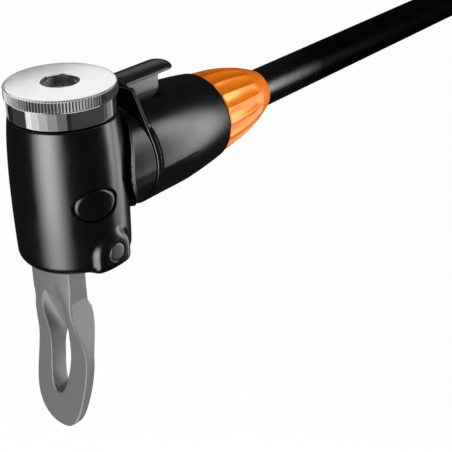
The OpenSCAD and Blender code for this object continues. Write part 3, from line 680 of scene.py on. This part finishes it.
def add_spring():
    """The spring under the pin, with closed end turns."""
    foot, high, turns, wire, radius = -27.4, 8.4, 7, 0.25, 1.45
    turn = np.linspace(0, turns, 24 * turns + 1)
    rise = np.cumsum(0.6 + 0.7 * ease(turn - 0.4) * ease(turns - 0.4 - turn))
    z = foot + 2 * wire + (high - 4 * wire) * (rise - rise[0]) / (rise[-1] - rise[0])
    a, s = 2 * math.pi * turn[:, None], around(12)[None]
    r = radius + wire * np.cos(s)
    z = z[:, None] - wire * np.sin(s)
    verts, faces = loft(np.stack([r * np.cos(a), r * np.sin(a), z], -1))
    spring = add_piece("pin_return_spring", verts, faces, "plunger", "spring_steel", ["pin_spring"], sharp=50)
    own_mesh(spring)
    return spring


def add_cap():
    """The plated screw cap: knurled rim, polished band, threaded spigot."""
    teeth, per = 110, 6
    count = teeth * per
    t = around(count)
    tooth = 0.5 - 0.5 * np.cos(teeth * t)
    # a row is (radius, height, share of the knurl); close rows keep the faces between them flat
    rows = [(4.25, -2.2, 0), (4.25, -0.3, 0), (4.26, -0.14, 0), (4.32, -0.04, 0), (4.42, 0, 0),
            (4.5, 0, 0), (6, 0, 0), (8, 0, 0), (10, 0, 0), (11.7, 0, 0), (11.85, -0.005, 0),
            (12.05, -0.04, 0), (12.2, -0.1, 0), (12.26, -0.18, 0)]
    rows += [(12.32, -0.22, 0.3), (12.44, -0.3, 0.8), (12.5, -0.4, 1)]
    rows += [(12.5, -0.4 - 2.2 * k / 5, 1) for k in range(1, 6)]
    rows += [(12.46, -2.7, 0.8), (12.3, -2.78, 0.3), (12.2, -2.82, 0), (12.13, -2.88, 0), (12.11, -2.93, 0),
             (12.15, -3.0, 0), (12.15, -3.06, 0), (12.15, -3.2, 0), (12.15, -6.6, 0), (12.15, -6.74, 0),
             (12.15, -6.8, 0), (12.08, -6.98, 0), (11.9, -7.08, 0),
             (10.5, -7.1, 0), (9.0, -7.1, 0), (8.85, -7.3, 0)]
    rings = [(r - 0.3 * w * tooth, z - 0.12 * (r / 12) ** 2 * (z > -0.7)) for r, z, w in rows]
    for k in range(29):
        z = -7.45 - 4.75 * k / 28
        turn = (t / (2 * math.pi) + z / 1.5) % 1.0
        rise = ease((0.5 - np.abs(turn - 0.5)) * 2.6) * min(1.0, k / 3, (28 - k) / 3)
        rings.append((8.85 + 0.52 * rise, z))
    rings += [(8.8, -12.4), (8.6, -12.5), (6.7, -12.5), (6.5, -12.35), (6.5, -2.3), (6.4, -2.2), (5, -2.2)]
    verts, faces = loft(turned(rings, count), closed=True)
    return add_piece("knurled_cap", verts, faces, "cap", "cap_chrome", ["screw_cap"], sharp=50)


# ---------------------------------------------------------------- lever

# Places along the lever are distances from its pin
LEVER_FACE, LEVER_LEN, CAM_HIGH, CAM_LOW = 9.1, 50.8, 6.4, 4.5
STEP_AT, TIP_THICK, NECK_THICK, NECK_HALF = 16, 2.8, 6.5, 5.75
WIDEST, LOOP_HALF, RIM_HIGH = 33, 8.8, 4.8
RAMP_FROM, RAMP_TO = 11.5, 26.5
FULL = 2.4   # how square the tip's and the hole's ovals are; 2 is an ellipse
HOLE_AT, HOLE_LOW, HOLE_HIGH, HOLE_HALF = 27.0, 14.4, 21.0, 3.4


def face_at(s):
    """The lever's outer face: a waist, then a flared tip."""
    return 1.7 * ease((s - STEP_AT) / 12) - 3.1 * ease((s - 28) / 20) - LEVER_FACE


def back_at(s):
    """The back of the loop, thicker towards the neck."""
    rise = NECK_THICK + 0.7 - TIP_THICK
    return face_at(s) + TIP_THICK + rise * (1 - ease((s - STEP_AT - 1) / 13))


def lever_side():
    """The lever from the side, from the pin: [x, z]. Its face is finished by lever_field."""
    line = [(CAM_LOW * math.cos(a), CAM_LOW * math.sin(a)) for a in np.radians(np.linspace(-60, 0, 8))]
    rise = [(CAM_LOW + 1.9 * k / 12, math.radians(7.5 * k)) for k in range(1, 13)]
    line += [(r * math.cos(a), r * math.sin(a)) for r, a in rise]
    line += [(CAM_HIGH * math.cos(a), CAM_HIGH * math.sin(a)) for a in np.radians(np.linspace(95, 155, 8))]
    line += [(-LEVER_FACE - 0.35, -2), (-LEVER_FACE - 0.35, -12)]
    line += [(face_at(s), -s) for s in np.linspace(STEP_AT, LEVER_LEN, 18)]
    line += [(back_at(s), -s) for s in np.linspace(LEVER_LEN, STEP_AT + 1, 18)]
    return line + [(NECK_THICK - LEVER_FACE, 1 - STEP_AT), (NECK_THICK - LEVER_FACE, -7)]


def lever_half(s):
    """Half the lever's width at a distance from the pin."""
    s = np.asarray(s, float)
    swell = np.sin(np.radians(90 * np.clip((s - 14) / (WIDEST - 14), 0, 1))) ** 1.25
    wide = NECK_HALF + (LOOP_HALF - NECK_HALF) * swell
    tip = np.clip((s - WIDEST) / (LEVER_LEN - WIDEST), 0, 1)
    return np.where(s < WIDEST, wide, LOOP_HALF * (1 - tip ** FULL) ** (1 / FULL))


def lever_front():
    """The lever's outline from the front: [y, z] from the pin."""
    s = np.concatenate([[-7.4], np.linspace(14, WIDEST, 12),
                        WIDEST + (LEVER_LEN - WIDEST) * np.sin(np.radians(np.arange(5, 90, 5)))])
    half = lever_half(s)
    right = np.stack([half, -s], -1)
    return np.concatenate([right, [[0, -LEVER_LEN]], right[::-1] * (-1, 1)])


def finger_hole(grow=0.0):
    """The finger hole from the front: a long oval, longer below its widest part."""
    a = around(48)
    c, n = np.cos(a), np.sin(a)
    reach = np.where(n > 0, HOLE_LOW, HOLE_HIGH) + grow
    return np.stack([0.45 + (HOLE_HALF + grow) * np.sign(c) * np.abs(c) ** (2 / FULL),
                     -HOLE_AT - reach * np.sign(n) * np.abs(n) ** (2 / FULL)], -1)


def lever_field(x, y, z):
    h = z - PIN_Z
    s = -h
    side = polygon(x, h, lever_side())
    # the neck's face falls away to one corner
    crown = 1.8 * (1 - ease((s - 9) / 13)) * ease((s - 1) / 4)
    front = face_at(s) - 0.35 - x + crown * np.clip((3.0 - y) / 8.8, 0, 1.2) ** 1.7
    side = meet(side, front, 0.3)
    outline = polygon(y, h, lever_front())
    solid = meet(side, outline, 0.45)
    # a shallow panel on the back, and a rim raised round the hole
    panel = meet(meet(outline + 1.7, slab(s, 20, 60), 0.8), back_at(s) - 0.6 - x, 0.4)
    solid = cut(solid, panel, 0.35)
    rim = meet(meet(polygon(y, h, finger_hole(1.4)), x - face_at(s) - RIM_HIGH, 0.45), slab(s, 20, 45))
    solid = join(solid, np.maximum(rim, face_at(s) + 0.8 - x), 0.4)
    # the hole starts as a long ramp; its edge is soft beside the ramp and crisp elsewhere
    back = face_at(RAMP_TO) + RIM_HIGH
    long = math.hypot(RAMP_TO - RAMP_FROM, back + LEVER_FACE)
    ramp = ((RAMP_TO - RAMP_FROM) * (x + LEVER_FACE) + (back + LEVER_FACE) * (h + RAMP_FROM)) / long
    hole = meet(polygon(y, h, finger_hole()), ramp, 2.4)
    soft = 0.35 + 2.2 * ease((1 - y) / 3) * (1 - ease((s - 18) / 10))
    solid = cut(solid, hole, soft)
    return cut(solid, np.hypot(x, h) - PIN_BORE, 0.2)


def add_lever():
    return mould("cam_lever", lever_field, (-11.3, -9.6, -89.5), (7.4, 9.6, -30.8), 0.3,
                 "lever", "lever_grey", ["lever"])


# ---------------------------------------------------------------- arm


def sleeve_radius(x):
    """The sleeve's outline along the arm."""
    line = bezier((18.2, 13.5), (33.2, 13.4), (SLEEVE_END, 11.55), 30)
    return np.interp(x, line[:, 0], line[:, 1])


def crest():
    """The flange seen along the arm: a circle that rises to the tab."""
    r, turn = 13.05, 28
    foot = (r * math.cos(math.radians(turn)), r * math.sin(math.radians(turn)))
    side = bezier(foot, (8.6, 11.6), (5.6, 17.4), 12)
    low = np.radians(np.linspace(180 - turn, 360 + turn, 60))
    circle = np.stack([r * np.cos(low), r * np.sin(low)], -1)
    return np.concatenate([side, side[::-1] * (-1, 1), circle[1:-1]])


def sleeve_field(x, y, z):
    h = z - ARM_Z
    arm = np.hypot(y, h)
    # a seam along each side: the lower half stands back a little and fades out along the arm
    below = 0.45 * ease((-0.9 - h) / 0.3) + 0.6 * ease((-0.9 - h) / 6)
    below = below * ease((h + 13) / 4) * (1 - ease((x - 19) / 13))
    shell = meet(meet(arm - sleeve_radius(x) + below, 17.0 - x, 0.45), x - SLEEVE_END, 0.5)
    flange = meet(polygon(y, h, crest()), slab(x, SLEEVE_X, SLEEVE_X + 1.0), 0.42)
    solid = join(shell, flange, 0.35)
    hollow = np.minimum(arm - 9.25, np.maximum(arm - 10.5, 27.9 - x))
    return cut(solid, hollow, 0.25)


def add_sleeve():
    return mould("swivel_sleeve", sleeve_field, (15.7, -14.2, -37.4), (45.4, 14.2, -4.9), 0.3,
                 "sleeve", "sleeve_dark", ["arm_sleeve"])


def add_tab():
    """The thumb rest: a half-round paddle on a stem that stands on the sleeve."""
    def field(x, y, z):
        half, under, high, nose = 3.9, -5.5, 1.85, 30.4
        reach = np.where(x > nose, np.hypot(x - nose, y), np.abs(y))
        rise, tall = z - under + 0.25, high + 0.2
        k = np.hypot(reach / half, rise / tall)
        dome = (k - 1) * k / np.maximum(np.hypot(reach / half ** 2, rise / tall ** 2), 1e-6)
        paddle = meet(meet(dome, under - z, 0.3), SLEEVE_X - x, 0.3)
        stem = meet(slab(x, 17.2, 29.6), np.abs(y) - 1.4, 0.3)
        stem = np.maximum(stem, slab(z, -11.4, under + 0.6))
        return join(paddle, stem, 0.15)
    return mould("thumb_rest", field, (15.8, -4.4, -11.8), (34.8, 4.4, -3.3), 0.25, "sleeve", "tab_grey",
                 ["thumb_tab"])


def add_collar():
    """The fluted collar: concave grips that run out before a smooth end ring."""
    count, flutes = 288, 18
    t = around(count)
    profile = bezier((SLEEVE_END + 0.5, 11.1), (56.6, 10.95), (MOUTH_X, 5.95), 44)
    # a row is (radius, place along the arm)
    rows = [(5.36, 40.0), (9.4, 40.0), (10.2, 40.3), (10.2, 45.1)]
    # sharp crests with round-bottomed grooves between them
    groove = 1 - (2 * ((flutes * t / (2 * math.pi) + 0.35) % 1.0) - 1) ** 2
    for x, r in profile:
        depth = 0.62 * ease((x - 44.9) / 1.2) * (1 - ease((x - 58.5) / 4.5))
        rows.append((r - depth * groove, x))
    rows += [(5.8, MOUTH_X), (5.37, MOUTH_X - 0.15), (5.37, 60.0)]
    verts, faces = loft(turned(rows, count, arm=True), closed=True)
    return add_piece("fluted_collar", verts, faces, "hose_line", "collar_orange", ["hose_collar"], sharp=50)


# ---------------------------------------------------------------- studio


def add_floor():
    """A pale floor, near white for the camera; it keeps a faint shadow."""
    mesh = bpy.data.meshes.new("floor")
    size, low = 9.0, -0.75
    mesh.from_pydata([(-size, -size, low), (size, -size, low), (size, size, low), (-size, size, low)], [],
                     [(0, 1, 2, 3)])
    floor = bpy.data.objects.new("floor", mesh)
    bpy.context.scene.collection.objects.link(floor)
    material = bpy.data.materials.new("floor_white")
    material.use_nodes = True
    tree = material.node_tree
    tree.nodes.clear()
    path, plain = tree.nodes.new("ShaderNodeLightPath"), tree.nodes.new("ShaderNodeBsdfDiffuse")
    plain.inputs[0].default_value = (0.86, 0.86, 0.86, 1)
    white, mix = tree.nodes.new("ShaderNodeEmission"), tree.nodes.new("ShaderNodeMixShader")
    share, out = tree.nodes.new("ShaderNodeMath"), tree.nodes.new("ShaderNodeOutputMaterial")
    share.operation = "MULTIPLY"
    share.inputs[1].default_value = 0.85
    white.inputs[1].default_value = 1.1
    tree.links.new(path.outputs["Is Camera Ray"], share.inputs[0])
    tree.links.new(share.outputs[0], mix.inputs[0])
    tree.links.new(plain.outputs[0], mix.inputs[1])
    tree.links.new(white.outputs[0], mix.inputs[2])
    tree.links.new(mix.outputs[0], out.inputs[0])
    mesh.materials.append(material)
    floor.visible_glossy = False


SOFT_LIGHT = 0.34
# Brightness of the dim cards that reflections see, by direction in degrees from +X, and overhead
LOW_CARDS = ((0, 0.02), (100, 0.018), (150, 0.022), (246, 0.02), (290, 0.022))
HIGH_CARD = 0.03


def add_world():
    """White for the camera, soft grey light, and dim cards for reflections."""
    world = bpy.data.worlds.new("studio")
    bpy.context.scene.world = world
    world.use_nodes = True
    tree = world.node_tree
    tree.nodes.clear()
    new, link = tree.nodes.new, tree.links.new

    def calc(operation, a, b=None):
        made = new("ShaderNodeMath")
        made.operation = operation
        for socket, value in zip(made.inputs, (a, b)):
            if isinstance(value, bpy.types.NodeSocket):
                link(value, socket)
            elif value is not None:
                socket.default_value = value
        return made.outputs[0]

    def ramp(value, stops):
        made = new("ShaderNodeValToRGB")
        link(value, made.inputs[0])
        marks = made.color_ramp.elements
        while len(marks) < len(stops):
            marks.new(1.0)
        for mark, (place, level) in zip(marks, stops):
            mark.position = place / 360
            mark.color = (level, level, level, 1)
        return made.outputs[0]

    def blend_in(share, a, b):
        made = new("ShaderNodeMix")
        made.data_type = "RGBA"
        for socket, value in ((0, share), (6, a), (7, b)):
            if isinstance(value, bpy.types.NodeSocket):
                link(value, made.inputs[socket])
            else:
                made.inputs[socket].default_value = (value, value, value, 1)
        return made.outputs[2]

    at, apart = new("ShaderNodeTexCoord"), new("ShaderNodeSeparateXYZ")
    link(at.outputs["Generated"], apart.inputs[0])
    angle = calc("ARCTAN2", apart.outputs[1], apart.outputs[0])
    turn = calc("FRACT", calc("DIVIDE", angle, 2 * math.pi))
    rise = new("ShaderNodeMapRange")
    link(apart.outputs[2], rise.inputs[0])
    rise.inputs[1].default_value, rise.inputs[2].default_value = 0.12, 0.3
    cards = blend_in(rise.outputs[0], ramp(turn, LOW_CARDS), HIGH_CARD)
    path = new("ShaderNodeLightPath")
    seen = calc("MAXIMUM", path.outputs["Is Camera Ray"], path.outputs["Is Transmission Ray"])
    colour = blend_in(seen, blend_in(path.outputs["Is Glossy Ray"], SOFT_LIGHT, cards), 1.0)
    back, out = new("ShaderNodeBackground"), new("ShaderNodeOutputWorld")
    link(colour, back.inputs[0])
    link(back.outputs[0], out.inputs[0])


def softbox(name, azimuth, elevation, away, size, radiance, aim=(0.01, 0, -0.03), fade=(0, 0), roll=0):
    """A soft lamp seen from the object in a direction, in degrees and metres.

    Size and fade are across and up; with a fade of 1 its edge is a third as bright as its middle.
    """
    a, e = math.radians(azimuth), math.radians(elevation)
    data = bpy.data.lights.new(name, "AREA")
    data.shape, data.size, data.size_y = "RECTANGLE", size[0], size[1]
    data.energy = radiance * math.pi * size[0] * size[1]
    data.use_nodes = True
    tree = data.node_tree
    value = tree.nodes.new("ShaderNodeNewGeometry").outputs["Parametric"]
    # brightness = exp(-(fade * place from the middle) squared), with no fade for 0
    spread = [2 * f ** 0.5 for f in fade] + [0]
    for operation, vector in (("SUBTRACT", (0.5, 0.5, 0)), ("MULTIPLY", spread), ("DOT_PRODUCT", None)):
        step = tree.nodes.new("ShaderNodeVectorMath")
        step.operation = operation
        tree.links.new(value, step.inputs[0])
        if vector:
            step.inputs[1].default_value = vector
        else:
            tree.links.new(value, step.inputs[1])
        value = step.outputs["Value" if vector is None else "Vector"]
    for operation, number in (("MULTIPLY", -1), ("EXPONENT", 0)):
        step = tree.nodes.new("ShaderNodeMath")
        step.operation = operation
        tree.links.new(value, step.inputs[0])
        step.inputs[1].default_value = number
        value = step.outputs[0]
    tree.links.new(value, tree.nodes["Emission"].inputs["Strength"])
    lamp = bpy.data.objects.new(name, data)
    back = Vector((math.cos(a) * math.cos(e), math.sin(a) * math.cos(e), math.sin(e)))
    lamp.location = Vector(aim) + away * back
    turned_by = Quaternion((0, 0, 1), math.radians(roll))
    lamp.rotation_euler = (back.to_track_quat("Z", "Y") @ turned_by).to_euler()
    lamp.visible_camera = False
    bpy.context.scene.collection.objects.link(lamp)
    return lamp


def lights_only(lamp, state, *pieces):
    """The lamp lights just these pieces (INCLUDE), or everything but them (EXCLUDE)."""
    group = bpy.data.collections.new(lamp.name + "_light")
    for k, piece in enumerate(pieces):
        group.objects.link(piece)
        group.collection_objects[k].light_linking.link_state = state
    lamp.light_linking.receiver_collection = group


# Lamps for one piece each: (azimuth, elevation, away, size, radiance, aim, fade, roll)
PIECE_LAMPS = {
    "sheen": (317, 6, 0.5, (0.16, 0.4), 6.5, (0.045, -0.011, -0.02), (1.5, 1)),
    # the near lamp's edge falls across the cap's top, so that its far side is darker
    "top": (49.7, 19.9, 0.16, (0.34, 0.16), 0.7, (0.002, -0.0326, 0.0653), (0, 0), 18),
    "under": (49.7, 5, 0.2, (0.3, 0.26), 0.31),
    "top_150": (150, 26, 0.16, (0.26, 0.16), 1.0, (0, 0, 0)),
    "top_270": (270, 26, 0.16, (0.26, 0.16), 1.0, (0, 0, 0)),
    "collar": (315, 8, 0.7, (0.5, 0.5), 5.7, (0.055, 0, -0.023), (1, 1)),
    "lever": (300, 0, 0.7, (0.7, 0.7), 1.75, (0, 0, -0.06)),
    "lift": (230, -72, 0.5, (0.5, 0.5), 1.8, (0, 0, -0.06)),
    "rest": (40, 28, 0.3, (0.16, 0.1), 0.5, (0.025, 0, -0.004)),
    "bore": (188, 52, 0.25, (0.16, 0.16), 9, (0, 0, -0.004)),
}
# Strips that the cap's band reflects: (azimuth, width, radiance)
BAND_LAMPS = ((154, 0.12, 0.85), (168, 0.17, 0.66), (186, 0.2, 0.46), (206, 0.2, 0.28), (226, 0.2, 0.13),
              (328, 0.1, 0.07), (341, 0.16, 0.2), (357, 0.16, 0.4), (22, 0.3, 0.18), (130, 0.5, 0.03),
              (285, 0.9, 0.03))


def add_lamps(cap, collar, lever, rest, hose, sleeve, inner):
    """Fading strips for the body and the arm; the bright pieces have lamps of their own."""
    key = softbox("key", 192, -6, 0.7, (0.8, 1.0), 5.9, fade=(2.0, 1))
    side = softbox("side", 321, 6, 0.5, (0.17, 0.75), 4.7, (0.045, -0.011, -0.02), (1.4, 1))
    rim = softbox("rim", 343, -18, 0.9, (0.42, 0.8), 2.2, fade=(1.6, 1))
    lights_only(key, "EXCLUDE", cap, hose)
    lights_only(side, "EXCLUDE", cap, hose)
    lights_only(rim, "EXCLUDE", cap, hose, sleeve)
    for azimuth, wide, radiance in BAND_LAMPS:
        band = softbox(f"band_{azimuth}", azimuth, -27, 0.6, (wide, 0.6), radiance, (0, 0, -0.005))
        lights_only(band, "INCLUDE", cap)
    lit = {"sheen": [hose], "top": [cap], "under": [cap], "top_150": [cap], "top_270": [cap],
           "collar": [collar], "lever": [lever], "lift": [lever], "rest": [rest], "bore": inner}
    for name, pieces in lit.items():
        lights_only(softbox(name, *PIECE_LAMPS[name]), "INCLUDE", *pieces)


def main():
    add_camera()
    nodes = frame["nodes"]
    hose = add_hose()
    tie, ferrule, nut = add_tie(), add_end_ferrule(), add_nut()
    finish_frame()
    add_housing()
    add_badge()
    add_pin()
    add_spring()
    cap = add_cap()
    lever = add_lever()
    sleeve = add_sleeve()
    rest = add_tab()
    collar = add_collar()
    add_floor()
    add_world()
    add_lamps(cap, collar, lever, rest, hose, sleeve, [nodes["valve_seal"], nodes["slip_washer"]])
    bpy.context.scene.view_settings.view_transform = "Standard"


main()
